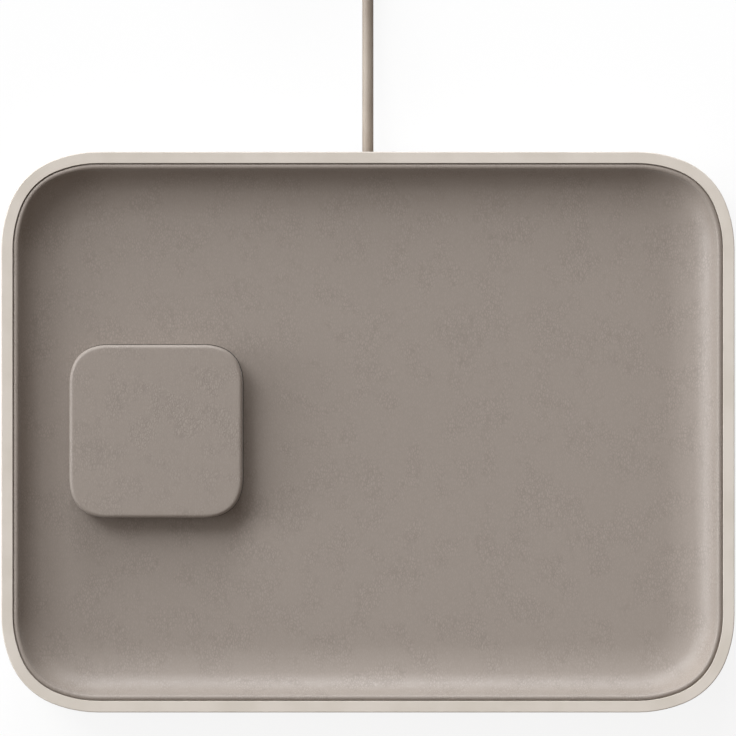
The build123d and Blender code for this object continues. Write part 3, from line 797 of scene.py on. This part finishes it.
def makePuckCap():
    look = puckCap
    edge = look["edgeRound"]
    stations = puckStations()
    size = len(stations)
    profile = [(0, puckLow.z), (0, (puckLow.z + puckHigh.z - edge) / 2)]
    for count in range(look["edgeSteps"] + 1):
        turn = radians(90 * count / look["edgeSteps"])
        profile.append((edge * (1 - cos(turn)), puckHigh.z - edge * (1 - sin(turn))))
    points = ringPoints(stations, profile)
    centre = Vector(((puckHigh.x + puckLow.x) / 2, (puckHigh.y + puckLow.y) / 2, puckHigh.z))
    rim = points[-size:]
    for share in look["rings"]:
        points += [centre + (point - centre) * share for point in rim]
    faces = ringFaces(len(profile) + len(look["rings"]), size)
    points.append(centre)
    last = len(points) - 1 - size
    faces += [(last + index, last + (index + 1) % size, last + size) for index in range(size)]
    piece = addPiece("puckCap", points, faces, "taupe_leather", "station", "puck_leather")
    addModifier(piece, "SOLIDIFY", thickness=look["skin"], offset=-1, use_even_offset=True)
    settle(piece, look["sharpAngle"])


makePuckCap()


print("cable tie")

tieLook = {
    "thickness": 0.7 * mm,
    "corner": 2.9 * mm,
    "cornerSteps": 8,
    "edgeRound": 0.22 * mm,
    "edgeSteps": 2,
    "sharpAngle": 50,
}


def tieStations(low, high):  # round the band, which stands upright across the cable
    look = tieLook
    corner = look["corner"]
    middle = (low + high) / 2
    stations = []
    for turn, (signX, signZ) in enumerate(((1, 1), (-1, 1), (-1, -1), (1, -1))):
        centre = Vector((middle.x + signX * ((high.x - low.x) / 2 - corner), middle.y,
                         middle.z + signZ * ((high.z - low.z) / 2 - corner)))
        for count in range(look["cornerSteps"] + 1):
            angle = (turn + count / look["cornerSteps"]) * pi / 2
            outward = Vector((cos(angle), 0, sin(angle)))
            stations.append((centre + outward * corner, outward))
    return stations


def tieSection(width):  # depth and way along the cable, round the band's section
    look = tieLook
    edge, steps = look["edgeRound"], look["edgeSteps"]
    turns = [pi / 2 * count / steps for count in range(steps + 1)]
    section = []
    for deep, side in ((False, -1), (False, 1), (True, 1), (True, -1)):
        for turn in (turns if deep == (side > 0) else turns[::-1]):
            depth = edge * (1 - sin(turn))
            section.append((look["thickness"] - depth if deep else depth,
                            side * (width / 2 - edge * (1 - cos(turn)))))
    return section


def makeTie():
    low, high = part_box("cable_tie")
    stations = tieStations(low, high)
    section = tieSection(high.y - low.y)
    points = [place - outward * depth + Vector((0, along, 0))
              for depth, along in section for place, outward in stations]
    size = len(stations)
    last = (len(section) - 1) * size
    faces = ringFaces(len(section), size)
    faces += [(last + index, last + (index + 1) % size, (index + 1) % size, index) for index in range(size)]
    piece = addPiece("coilTie", points, faces, "tie_rubber", "cable", "cable_tie")
    settle(piece, tieLook["sharpAngle"])
    return piece


tie = makeTie()


print("studio")

studio = {
    # azimuth from +X towards +Y, elevation, how wide it looks, all in degrees, and
    # its share of the light on a level surface
    "lamps": {
        "key": (131, 40, 30, 0.36),
        "midLeft": (172, 24, 26, 0.08),
        "midBack": (95, 22, 26, 0.12),
        "side": (145, 24, 26, 0.09),
        "lowLeft": (180, 10, 26, 0.085),
        "lowBack": (90, 10, 26, 0.08),
    },
    "lampColour": (0.965, 1.005, 1.04),
    "even": 0.15,  # the same share for the light from all round
    "evenColour": (1.18, 0.98, 0.82, 1.0),  # warm, so that the shadows are brown
    "white": (1.0, 1.0, 1.0, 1.0),
    "floorSize": 30.0,
    "floorWhite": tone(250, 250, 250),
    "floorBounce": tone(188, 186, 184),  # what it throws back, so that the frame's sides don't clip
    "floorGlow": 0.88,  # how far the floor is lifted to plain white
}


def makeLamps():
    for name, (azimuth, elevation, width, share) in studio["lamps"].items():
        lamp = addObject(name, bpy.data.lights.new(name, "SUN"))
        across, up = radians(azimuth), radians(elevation)
        lamp.data.energy = pi * share / sin(up)
        lamp.data.angle = radians(width)
        lamp.data.color = studio["lampColour"]
        towards = Vector((cos(across) * cos(up), sin(across) * cos(up), sin(up)))
        lamp.rotation_mode = "QUATERNION"
        lamp.rotation_quaternion = towards.to_track_quat("Z", "Y")


def makeWorld():  # white where it is seen, an even warm light for everything else
    look = studio
    world = bpy.data.worlds.new("world")
    bpy.context.scene.world = world
    graph = Graph(world)
    seen, mirrored, passed = [graph.node("ShaderNodeLightPath", out=ray) for ray in (
        "Is Camera Ray", "Is Glossy Ray", "Is Transmission Ray")]
    plain = graph.maths("MAXIMUM", seen, graph.maths("MAXIMUM", mirrored, passed))
    even, shown = [graph.node("ShaderNodeBackground", None, {"Color": colour, "Strength": level})
                   for colour, level in ((look["evenColour"], look["even"]), (look["white"], 1.0))]
    mixed = graph.node("ShaderNodeMixShader", None, {0: plain, 1: even, 2: shown})
    graph.node("ShaderNodeOutputWorld", None, {"Surface": mixed})


def makeFloor():
    look = studio
    finish = Finish("floorWhite")
    white, bounce = [finish.node("ShaderNodeBsdfDiffuse", None, {"Color": look[colour]})
                     for colour in ("floorWhite", "floorBounce")]
    glow = finish.node("ShaderNodeEmission", None, {"Strength": 1.0})
    lifted = finish.node("ShaderNodeMixShader", None, {0: look["floorGlow"], 1: white, 2: glow})
    seen = finish.node("ShaderNodeLightPath", out="Is Camera Ray")
    shown = finish.node("ShaderNodeMixShader", None, {0: seen, 1: bounce, 2: lifted})
    finish.node("ShaderNodeOutputMaterial", None, {"Surface": shown})
    half = look["floorSize"] / 2
    corners = [(-half, -half, 0), (half, -half, 0), (half, half, 0), (-half, half, 0)]
    floor = addMesh("floor", corners, [(0, 1, 2, 3)])
    floor.data.materials.append(finish.material)


makeLamps()
makeWorld()
makeFloor()
bpy.context.scene.view_settings.view_transform = "Standard"

print("finished")
